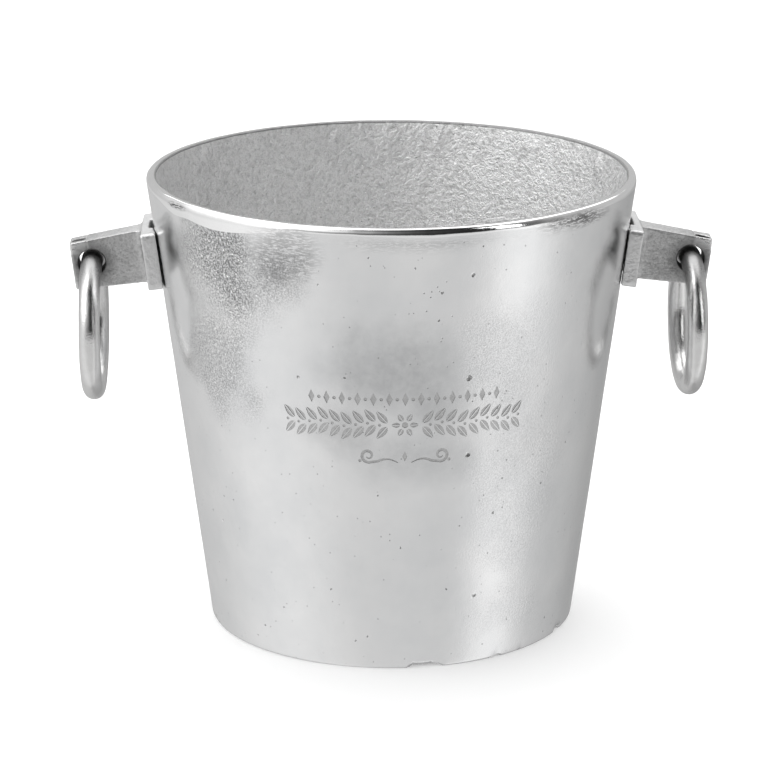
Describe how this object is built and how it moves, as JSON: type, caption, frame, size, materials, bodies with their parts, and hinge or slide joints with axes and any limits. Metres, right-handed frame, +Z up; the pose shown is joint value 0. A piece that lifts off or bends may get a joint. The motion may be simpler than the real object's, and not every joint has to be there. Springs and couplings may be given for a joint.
{
  "type": "champagne bucket",
  "caption": "Tapered round cast metal bucket with a polished lip and a swinging ring handle on a bracket at each side, for chilling bottles in ice.",
  "frame": {"origin": "centre of the bucket's flat underside", "axes": "+Z up along the bucket's axis, +X towards the right handle, +Y towards the back"},
  "size_m": [0.3158, 0.2392, 0.225],
  "materials": {
    "bucket": "nickel-plated cast metal, polished outside, matte sand-cast inside",
    "bracket": "nickel-plated, raw cast and grainy",
    "ring": "polished",
    "fastener": "satin"
  },
  "bodies": {
    "bucket": {"bucket_shell": "bucket", "left_bracket": "bracket", "right_bracket": "bracket", "left_upper_screw": "fastener", "left_lower_screw": "fastener", "right_upper_screw": "fastener", "right_lower_screw": "fastener", "left_upper_washer": "fastener", "left_lower_washer": "fastener", "right_upper_washer": "fastener", "right_lower_washer": "fastener"},
    "left_ring": {"left_ring": "ring"},
    "right_ring": {"right_ring": "ring"}
  },
  "joints": [
    {"name": "left_ring_swing", "type": "hinge", "parent": "bucket", "child": "left_ring", "pos_m": [-0.1469, 0, 0.18143], "axis": [0, 1, 0], "range_deg": [-31, 208]},
    {"name": "right_ring_swing", "type": "hinge", "parent": "bucket", "child": "right_ring", "pos_m": [0.1469, 0, 0.18143], "axis": [0, -1, 0], "range_deg": [-31, 208]}
  ]
}
